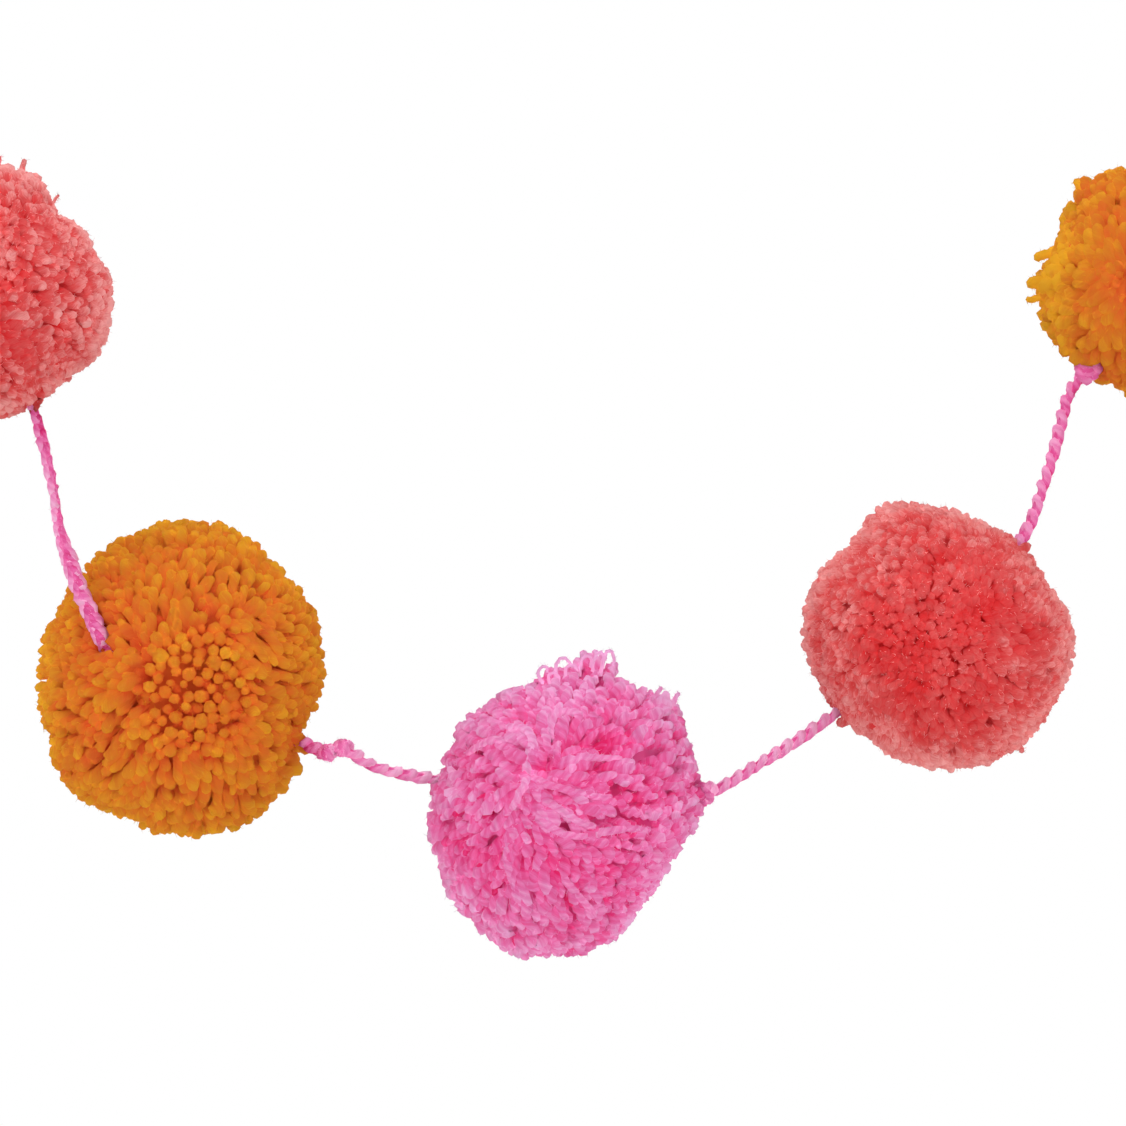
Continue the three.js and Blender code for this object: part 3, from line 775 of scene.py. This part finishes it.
def add_long_ends(yarn, pompom, random, toward, surface):
    """The yarn ends that reach the outside, and the loose fibres that stand off them."""
    centre = np.array(pompom["centre"], float)
    radius = pompom["depth"]
    strands = pompom["strands"]
    uneven = np.clip(pompom["uneven"] * random.standard_normal(strands), *UNEVEN_LIMITS)
    far = surface(toward) * (1 + uneven)
    over = lay(pompom, toward)
    x, z, width = pompom["end_on"]
    end_on = fading(apart_from(x, z, radius, toward), width, 4)[:, None]
    loose = LOOSE_STANDING + LOOSE_LEANING * np.linalg.norm(over, axis=1, keepdims=True)
    loose = loose * (1 - END_ON_CALM * end_on)
    over = over + SWAY * loose * np.stack([ripple(random, SWAY_FINENESS)(toward) for _ in range(3)], 1)
    over = over + LEAN_UNEVENNESS * loose * random.standard_normal((strands, 3))
    over = over - (over * toward).sum(1, keepdims=True) * toward
    bent = np.linalg.norm(over, axis=1)
    root = unit(toward - ROOT_LEAN * over) * (ROOT_SHARE * far)[:, None]
    knee_share = (KNEE_SHARE + KNEE_RISE * bent).clip(0, 1.0)
    knee = unit(toward - KNEE_LEAN * over) * (far * knee_share)[:, None]
    tip = toward * far[:, None]
    share = STRAND_RINGS[None, :, None]
    lines = (1 - share) ** 2 * root[:, None] + 2 * share * (1 - share) * knee[:, None]
    lines = lines + share**2 * tip[:, None]
    lines = centre + lines + pompom["crimp"] * random.standard_normal(lines.shape)

    # The ends part where the cord lies over them or comes out between them.
    offset = lines[:, :, None] - cord_line
    apart = np.linalg.norm(offset, axis=3)
    nearest = apart.argmin(2)
    offset = np.take_along_axis(offset, nearest[:, :, None, None], 2)[:, :, 0]
    apart = np.take_along_axis(apart, nearest[:, :, None], 2)[:, :, 0]
    lines = lines + unit(offset) * np.clip(CORD_PARTING - apart, 0, None)[:, :, None]

    thickness = (1 + THICKNESS_UNEVENNESS * random.standard_normal(strands)).clip(*THICKNESS_LIMITS)
    ring_unevenness = RING_UNEVENNESS * random.standard_normal((strands, len(STRAND_RINGS)))
    radii = (pompom["strand_radius"] * thickness)[:, None] * STRAND_PROFILE * (1 + ring_unevenness)
    depth_share = np.linalg.norm(lines - centre, axis=2) / reach(pompom, toward)[:, None]
    # Painted shade: each end is painted deeper below SHADE_ENDS of its reach, down between the other ends.
    lit = np.clip((depth_share - SHADE_ENDS) / (1 - SHADE_ENDS), 0, 1)
    tone = LONG_END_TONE - pompom["painted_seam_shade"] * (1 - lit)
    tone = tone + pompom["mottle"] * random.standard_normal((strands, 1))
    # Painted light: the tip of each end is painted paler.
    tone = tone + pompom["painted_tip_light"] * (STRAND_RINGS**TIP_SHARPNESS - TIP_USUAL)
    # Painted light: ends near the outline are painted paler, as light coming through the rim.
    tone = tone + pompom["painted_rim_light"] * (edge_on(toward)[:, None] ** 2 - EDGE_USUAL)
    for x, z, width, more in pompom["tints"]:
        tone = tone + more * fading(apart_from(x, z, radius, toward), width)[:, None]
    # Painted shade near the cord, where it parts the ends.
    tone = tone - CORD_SHADE * fading(apart, CORD_SHADE_WIDTH)
    bend = np.cross(tip - root, over + 1e-3 * random.standard_normal((strands, 3)))
    outward = pompom["softness"] * unit(lines - centre)
    skin = yarn.tubes(lines, radii, pompom["sides"], unit(bend)[:, None], tone, outward)

    fibres = pompom["fibres"]
    chosen = random.integers(0, strands, fibres)
    ring = random.integers(2, len(STRAND_RINGS), fibres)
    corner = random.integers(0, pompom["sides"], fibres)
    roots = skin[chosen, ring, corner]
    off_axis = unit(roots - lines[chosen, ring])
    ahead = unit(lines[chosen, ring] - lines[chosen, ring - 1])
    spread = FIBRE_SPREAD * random.standard_normal((fibres, 3))
    ways = unit(FIBRE_OFF * off_axis + FIBRE_AHEAD * ahead + spread)
    lengths = random.uniform(*FIBRE_LENGTHS, fibres)
    normals = FIBRE_SOFTNESS * off_axis + outward[chosen, ring]
    fibre_tone = tone[chosen, ring] + FIBRE_PALER
    yarn.fibres(roots, ways, lengths, FIBRE_WIDTH, normals, fibre_tone, random)


def add_short_ends(yarn, pompom, random, surface):
    """The shorter ends that fill between the long ones, but for those that the cord would pass through."""
    short = pompom["short_ends"]
    toward = even_directions(short, random, SHORT_SCATTER)
    x, z, width = pompom["end_on"]
    sunk = pompom["beads"] * fading(apart_from(x, z, pompom["depth"], toward), width, 4)
    lowest, highest = SHORT_FILL_SPREAD
    filled = random.uniform(pompom["fill"] + lowest, pompom["fill"] + highest, short)
    far = surface(toward) * (filled - sunk)
    over = SHORT_LEAN * lay(pompom, toward) + SHORT_LEAN_UNEVENNESS * random.standard_normal((short, 3))
    root = unit(toward - SHORT_ROOT_LEAN * over) * (SHORT_ROOT_SHARE * far)[:, None]
    tip = toward * far[:, None]
    centre = np.array(pompom["centre"], float)
    stubs = centre + root[:, None] + SHORT_RINGS[:, None] * (tip - root)[:, None]
    clear = np.linalg.norm(stubs[:, :, None] - cord_line, axis=3).min((1, 2)) > CORD_PARTING
    radii = pompom["strand_radius"] * SHORT_PROFILE * np.ones((short, 1))
    # The short ends sit low, so they take the whole painted seam shade, and painted light paler at the
    # outline.
    paler = pompom["painted_rim_light"] * (edge_on(toward)[:, None] ** 2 - SHORT_EDGE_USUAL)
    mottle = SHORT_MOTTLE * random.standard_normal((short, 1))
    tone = (SHORT_END_TONE - pompom["painted_seam_shade"] + paler + mottle) * np.ones(len(SHORT_RINGS))
    upright = np.cross(toward, random.standard_normal((short, 3)))[:, None]
    outward = pompom["softness"] * toward[:, None] * np.ones((1, len(SHORT_RINGS), 1))
    yarn.tubes(stubs[clear], radii[clear], SHORT_SIDES, upright[clear], tone[clear], outward[clear])


def add_heart(yarn, pompom, random, surface):
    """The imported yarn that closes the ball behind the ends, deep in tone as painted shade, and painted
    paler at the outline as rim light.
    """
    ball = bmesh.new()
    bmesh.ops.create_icosphere(ball, subdivisions=HEART_SUBDIVISIONS, radius=1)
    directions = unit(np.array([v.co for v in ball.verts]))
    faces = np.array([[v.index for v in f.verts] for f in ball.faces])
    ball.free()
    uneven = 1 + HEART_UNEVENNESS * ripple(random, HEART_FINENESS)(directions)
    heart = surface(directions) * (pompom["fill"] - HEART_SUNK) * uneven
    tone = HEART_PAINTED_SHADE + HEART_MOTTLE * ripple(random, HEART_MOTTLE_FINENESS)(directions)
    tone = tone + pompom["painted_rim_light"] * edge_on(directions) ** 2
    centre = np.array(pompom["centre"], float)
    yarn.add(centre + directions * heart[:, None], [faces], directions, tone, HEART_GRAIN * directions)


def add_stray_ends(yarn, pompom, random, surface):
    """Single longer ends, with fuzz on them: some lie over the front, and some stray out of the ball, a few
    of those still looped where the scissors missed them."""
    lying_ends = []
    for thickness, end_tone, places in pompom["lying_ends"]:
        ways = np.array([front_direction(x, z, pompom["depth"]) for x, z in places])
        heights = surface(ways) + LYING_LIFT * thickness
        heights[0] -= LYING_ROOT_DEPTH
        heights[-1] -= LYING_TIP_DEPTH
        lying_ends.append((thickness, end_tone, ways * heights[:, None]))
    centre = np.array(pompom["centre"], float)
    upright = np.array([0.1, 1.0, 0.1])
    for thickness, end_tone, bend in (*lying_ends, *pompom["stray_ends"]):
        line = centre + smooth_line(bend, STRAY_STEP)[None]
        radii = thickness * np.linspace(1, STRAY_TAPER, line.shape[1])[None]
        line = line + STRAY_UNEVENNESS * random.standard_normal(line.shape)
        outward = STRAY_SOFTNESS * unit(line - centre)
        tone = np.full(line.shape[:2], end_tone)
        skin = yarn.tubes(line, radii, STRAY_SIDES, upright, tone, outward)
        chosen = random.integers(1, line.shape[1], STRAY_FIBRES)
        roots = skin[0, chosen, random.integers(0, STRAY_SIDES, STRAY_FIBRES)]
        off_axis = unit(roots - line[0, chosen])
        ways = unit(off_axis + STRAY_FIBRE_SPREAD * random.standard_normal((STRAY_FIBRES, 3)))
        lengths = random.uniform(*STRAY_FIBRE_LENGTHS, STRAY_FIBRES)
        fuzz_tone = np.full(STRAY_FIBRES, end_tone + STRAY_FIBRE_PALER)
        yarn.fibres(roots, ways, lengths, STRAY_FIBRE_WIDTH, off_axis, fuzz_tone, random)


def make_pompom(name, pompom, material):
    """One pompom as one mesh. Its rim is how far it reaches at even turns from the right and up, its depth
    how far to the front, and each tuft an angle and how much further. Its eye is where the ends stand up:
    place, width, strength and twist. Each comb is a place, a width and the sweep there. In the end_on patch
    the ends face out. Each parting is a place, a width and a depth, and each tint a place, a width and how
    much paler. The lying and the stray ends each have a radius, a tone and a line of places."""
    random = np.random.default_rng(pompom["seed"])
    calm = (*pompom["end_on"], pompom["depth"])
    toward = even_directions(pompom["strands"], random, pompom["scatter"], calm)
    surface = trimmed_surface(pompom, random)
    yarn = Yarn()
    add_long_ends(yarn, pompom, random, toward, surface)
    add_short_ends(yarn, pompom, random, surface)
    add_heart(yarn, pompom, random, surface)
    add_stray_ends(yarn, pompom, random, surface)
    piece = yarn.piece(name, material)
    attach(piece, "root")
    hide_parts(pompom["node"])


# Cut and fluffed acrylic yarn in coral, whose ends have opened into fine fibres: soft and without gloss, a
# full red where it is packed, which is painted shade, and painted paler at the rim, as light coming through.
coral_yarn = yarn_material(
    "bloomed_cut_acrylic_yarn_coral",
    [(0.0, "#B81C1E"), (0.3, "#BA2C2E"), (0.62, "#BC4A4A"), (1.0, "#D08E8C")],
    soften_mm=5,
    ply_depth=0.25,
    ply_mm=3.0,
    fibre_mm=0.35,
)
left_coral = {
    "node": "pompom_coral_left",
    "slot": "yarn_coral",
    "seed": 11,
    "centre": (12.25, 0, -57.5),
    "depth": 32,
    "rim": (33.4, 29.8, 27.2, 31.8, 33, 33, 32.5, 33, 33, 33.5, 33, 32.5, 33, 32.3, 31.6, 33.3),
    "tufts": ((60, 1),),
    "lumps": 0.02,
    "locks": 0.008,
    "strands": 2200,
    "strand_radius": 1.38,
    "sides": 5,
    "scatter": 0.22,
    "uneven": 0.012,
    "crimp": 0.12,
    "fibres": 7000,
    "short_ends": 700,
    "fill": 0.965,
    "beads": 0,
    "eye": (4, 8, 16, 0.15, 0.0),
    "combs": ((18, 12, 9, 0.12, -0.2), (18, -10, 10, 0.32, -0.05), (8, -22, 9, 0.25, -0.3)),
    "end_on": (4, 4, 10),
    "partings": ((14, 20, 2.5, 2), (6, -4, 2.5, 2)),
    "softness": 1.3,
    "painted_seam_shade": 0.48,
    "mottle": 0.07,
    "painted_tip_light": 0.16,
    "painted_rim_light": 0.36,
    "tints": ((19, -6, 9, 0.12), (4, 8, 14, 0.1)),
    "lying_ends": (),
    "stray_ends": (
        (0.5, 0.75, ((17, -3, 20), (18.6, -4, 22.4), (19.4, -4, 23.6))),
        (0.9, 0.75, ((9, -1, 28), (10, -1, 31), (10.5, -1, 32.4))),
        (0.9, 0.75, ((3.4, -1, 30), (4, -1, 32.5), (4.2, -1, 33.3))),
    ),
}
make_pompom("coral_pompom_left", left_coral, coral_yarn)

# The orange pompom: the thickest and loosest yarn, in a mix of red-orange and yellow-orange. Its ends face
# out of a patch below the middle, part at the left of it, and the cord lies over its upper left.
# Cut acrylic yarn spun in two tones: matt, streaked along each end, with tips painted golden as light over
# deep gaps painted as shade.
orange_yarn = yarn_material(
    "bloomed_cut_acrylic_yarn_orange",
    [(0.0, "#C04620"), (0.28, "#C85C24"), (0.6, "#C67222"), (1.0, "#D09624")],
    soften_mm=3.5,
    ply_depth=0.25,
    ply_mm=3.5,
    fibre_mm=0.4,
)
orange = {
    "node": "pompom_orange",
    "slot": "yarn_orange",
    "seed": 23,
    "centre": (60.2, 10, -154.2),
    "depth": 36,
    "rim": (37, 38.1, 37.9, 39.7, 39.2, 37.3, 36.2, 34.1, 33.5, 36.1, 39.8, 38.3, 40.6, 41.5, 39.4, 34.7),
    "tufts": ((163, 2), (178, 1.5), (187, 1)),
    "lumps": 0.015,
    "locks": 0.015,
    "strands": 1650,
    "strand_radius": 1.42,
    "sides": 7,
    "scatter": 0.17,
    "uneven": 0.018,
    "crimp": 0.15,
    "fibres": 5000,
    "short_ends": 600,
    "fill": 0.955,
    "beads": 0.008,
    "eye": (6.75, -3.5, 22, 0.45, 0.0),
    "combs": (
        (-4, 17, 9, 0.05, 0.38),
        (8, 26, 9, 0.3, 0.4),
        (25, 8, 10, 0.55, -0.42),
        (-20, 2, 8, -0.4, 0.0),
        (-11, -3, 6, -0.3, -0.15),
        (-17, -22, 9, -0.25, -0.3),
        (3, -28, 9, 0.0, -0.4),
    ),
    "end_on": (8, -3, 15.5),
    "partings": ((-6, 5.5, 2.2, 6), (-7.5, 0, 2.2, 6), (-8, -6, 2.2, 5)),
    "softness": 1.1,
    "painted_seam_shade": 0.55,
    "mottle": 0.06,
    "painted_tip_light": 0.16,
    "painted_rim_light": 0.25,
    "tints": (),
    "lying_ends": (),
    "stray_ends": (),
}
make_pompom("orange_pompom", orange, orange_yarn)

# The pink pompom: soft two-ply yarn with its plies plain to see. Long ends sweep down to the right from a
# swirl at its upper left, and a loose tuft of paler ends stands on top over a deep hollow.
# Cut and fluffed acrylic yarn in pink, loosely plied: its rounds painted pale as light, and the grooves
# between them painted deep rose as shade.
pink_yarn = yarn_material(
    "bloomed_cut_acrylic_yarn_pink",
    [(0.0, "#CE2660"), (0.28, "#CE427E"), (0.6, "#CF689E"), (1.0, "#D49AC2")],
    soften_mm=4.5,
    ply_depth=0.5,
    ply_mm=2.2,
    fibre_mm=0.4,
)
pink = {
    "node": "pompom_pink",
    "slot": "yarn_pink",
    "seed": 37,
    "centre": (157, 0, -190),
    "depth": 33.5,
    "rim": (33.6, 37, 40.6, 37, 35, 35.2, 34.8, 32.9, 34, 32.8, 33.8, 36, 35, 32.9, 28.9, 29),
    "tufts": ((72, 4), (82, 5.4), (93, 3.2), (8, 2)),
    "lumps": 0.02,
    "locks": 0.012,
    "strands": 1750,
    "strand_radius": 1.3,
    "sides": 6,
    "scatter": 0.24,
    "uneven": 0.02,
    "crimp": 0.30,
    "fibres": 5000,
    "short_ends": 900,
    "fill": 0.97,
    "beads": 0,
    "eye": (-8.5, 11, 6, 0.5, 0.2),
    "combs": (
        (4, 2, 10, 0.65, -0.4),
        (-18, 18, 9, -0.5, 0.1),
        (-20, -8, 10, -0.42, -0.35),
        (0, -22, 11, 0.05, -0.55),
        (22, 4, 9, 0.05, -0.08),
    ),
    "end_on": (-8.5, 11, 2),
    "partings": (
        (3.5, 22, 3.5, 4.5),
        (10.5, 21, 2.5, 4),
        (-3, 15.5, 2.5, 4),
        (-11.5, 14, 2, 2.5),
        (-16, 11, 2, 2),
        (-20, 8.5, 2, 2),
        (-0.5, -9.5, 2.5, 2),
        (-11, -9.5, 2, 2),
    ),
    "softness": 1.2,
    "painted_seam_shade": 0.6,
    "mottle": 0.07,
    "painted_tip_light": 0.14,
    "painted_rim_light": 0.22,
    "tints": (),
    "lying_ends": (
        (1.2, 0.62, ((-11, 15), (-4.4, 10.7), (3.2, 8.5), (8, 7.4), (12, 7))),
        (1.2, 0.6, ((-7.7, 10), (-2.8, 5.8), (4.3, 1.4), (8.1, 0.3))),
        (1.2, 0.55, ((-7.7, 5.2), (-4.4, 1.4), (1, -1.8), (7, -2.4))),
        (1.15, 0.65, ((0, 14), (4.3, 16.5), (10.8, 16.5), (14, 16))),
        (1.2, 0.6, ((-10, 12.7), (-15.3, 8.5), (-19, 4.7), (-21.7, 1.4))),
        (1.2, 0.62, ((-13.6, -2), (-14, -7.4), (-12.5, -13), (-9.8, -19))),
        (1.15, 0.6, ((-2.2, -9.5), (2.1, -15), (6.4, -20), (8.1, -23.5))),
        (1.15, 0.65, ((-12, 20), (-16.3, 20.5), (-21.7, 18.8), (-25, 17.5))),
        (1.2, 0.65, ((8, -2.5), (12, -1), (17, -0.5), (21, -1.3))),
        (1.4, 0.7, ((-3.5, 22), (-2.2, 25.8), (1, 27.2), (4.3, 26), (5, 23.5))),
        (1.4, 0.7, ((-9, 12), (-8.5, 16), (-7, 20), (-9, 23), (-13, 23.5))),
    ),
    "stray_ends": (
        (0.55, 1.0, ((9.6, -4, 36), (10.4, -5, 40.4), (11.6, -5, 42.4), (12.9, -4, 41.2), (12.8, -2, 37))),
        (0.5, 0.95, ((7.4, -5, 37), (8.2, -6, 41), (9.6, -6, 42.2), (10.4, -5, 40), (9.8, -3, 36))),
        (0.5, 0.9, ((4.5, -4, 36), (4.8, -5, 40), (6.4, -5, 41.2), (7.2, -4, 39.4), (6.6, -2, 36))),
        (0.55, 1.0, ((-1.6, -4, 35), (-1.4, -5, 39.4), (0.2, -5, 40.8), (1.6, -4, 39.6), (2.8, -3, 38.6))),
        (0.5, 0.95, ((0.6, -5, 35), (1.2, -6, 38.2), (2.8, -6, 38.8), (3.6, -5, 37.4), (3.4, -3, 35))),
        (0.5, 1.0, ((-4.4, -4, 33.4), (-5.8, -5, 36.2), (-5.4, -5, 38.2), (-3.8, -4, 38.4), (-3.2, -3, 36))),
        (0.45, 0.95, ((-3, -5, 34), (-3.4, -6, 36.2), (-2, -6, 37), (-0.8, -5, 36), (-0.6, -3, 34))),
        (0.8, 0.75, ((22, -4, 29), (24, -5, 32), (24.6, -5, 33.2))),
        (0.8, 0.75, ((27, -3, 28), (28.6, -4, 31), (29.3, -4, 31.8))),
        (1.2, 0.75, ((-8.5, -29, 11.5), (-9.5, -31.5, 9.5), (-10.75, -33, 7.5), (-12, -32.5, 4.5))),
    ),
}
make_pompom("pink_pompom", pink, pink_yarn)

# The right coral pompom: the same yarn as the left one, packed the closest of all and trimmed round, with
# its ends facing out in the middle and lying over to the sides.
right_coral = {
    "node": "pompom_coral_right",
    "slot": "yarn_coral",
    "seed": 41,
    "centre": (251.5, 0, -143.75),
    "depth": 32.5,
    "rim": (33.6, 30.6, 30.3, 30.2, 32.3, 35.6, 32.3, 34.8, 34.6, 32.9, 32, 32.2, 34.3, 34.9, 34.6, 33.9),
    "tufts": ((250, 1),),
    "lumps": 0.022,
    "locks": 0.008,
    "strands": 2300,
    "strand_radius": 1.36,
    "sides": 5,
    "scatter": 0.22,
    "uneven": 0.012,
    "crimp": 0.12,
    "fibres": 6800,
    "short_ends": 650,
    "fill": 0.965,
    "beads": 0,
    "eye": (0, 2, 18, 0.15, 0.0),
    "combs": (
        (18, 0, 9, 0.35, -0.1),
        (14, -18, 9, 0.25, -0.3),
        (-17, -15, 9, -0.3, -0.15),
        (-22, 6, 8, -0.15, 0.0),
    ),
    "end_on": (-6, 2, 12),
    "partings": ((8, 6, 2, 1.5), (-9, -3, 2, 1.5)),
    "softness": 2.2,
    "painted_seam_shade": 0.42,
    "mottle": 0.04,
    "painted_tip_light": 0.06,
    "painted_rim_light": 0.36,
    "tints": ((15, -6, 9, 0.16), (-19, -3, 7, -0.08)),
    "lying_ends": (),
    "stray_ends": (
        (1.0, 0.75, ((18.5, -2, -25), (20, -2, -28), (20.4, -2, -29.2))),
        (0.8, 0.75, ((-14, -3, -24), (-15.2, -3, -26), (-15.6, -3, -26.4))),
    ),
}
make_pompom("coral_pompom_right", right_coral, coral_yarn)

# The right orange pompom: smaller, of the thick orange yarn, its blunt ends lying out to the left from a
# middle painted a deeper red-orange, as shade in its parting.
right_orange = {
    "node": "pompom_orange_right",
    "slot": "yarn_orange",
    "seed": 53,
    "centre": (303.5, 0, -55),
    "depth": 28,
    "rim": (28.5, 28, 28.5, 28.5, 28.5, 29.2, 27.2, 24.8, 27.6, 28, 28.5, 28.2, 28.3, 28.5, 28.5, 28.5),
    "tufts": ((126, 3),),
    "lumps": 0.02,
    "locks": 0.015,
    "strands": 950,
    "strand_radius": 1.6,
    "sides": 6,
    "scatter": 0.2,
    "uneven": 0.02,
    "crimp": 0.15,
    "fibres": 4000,
    "short_ends": 450,
    "fill": 0.95,
    "beads": 0,
    "eye": (-8, -2.5, 7, 0.6, 0.0),
    "combs": (),
    "end_on": (-10, -2, 5),
    "partings": ((-8, -2.5, 3, 3),),
    "softness": 1.3,
    "painted_seam_shade": 0.5,
    "mottle": 0.06,
    "painted_tip_light": 0.12,
    "painted_rim_light": 0.3,
    # Tints: its left outline is painted paler as rim light, and its parting at the middle deeper as shade.
    "tints": ((-26, 0, 13, 0.35), (-6, -2.5, 7, -0.1)),
    "lying_ends": (),
    "stray_ends": (
        (2.3, 1.15, ((-19, -1, -0.6), (-26, -1, -0.7), (-30, -1, -0.8))),
        (1.7, 1.0, ((-18, -1, 8.6), (-23.5, -1, 7.2), (-28, -1, 5.4))),
        (1.2, 1.0, ((-22, -1, -3.8), (-27, -1, -4.5), (-30.2, -1, -4.9))),
        (1.5, 0.85, ((-15, -1, 20), (-17, -1, 23), (-18, -1, 24.6))),
    ),
}
make_pompom("orange_pompom_right", right_orange, orange_yarn)
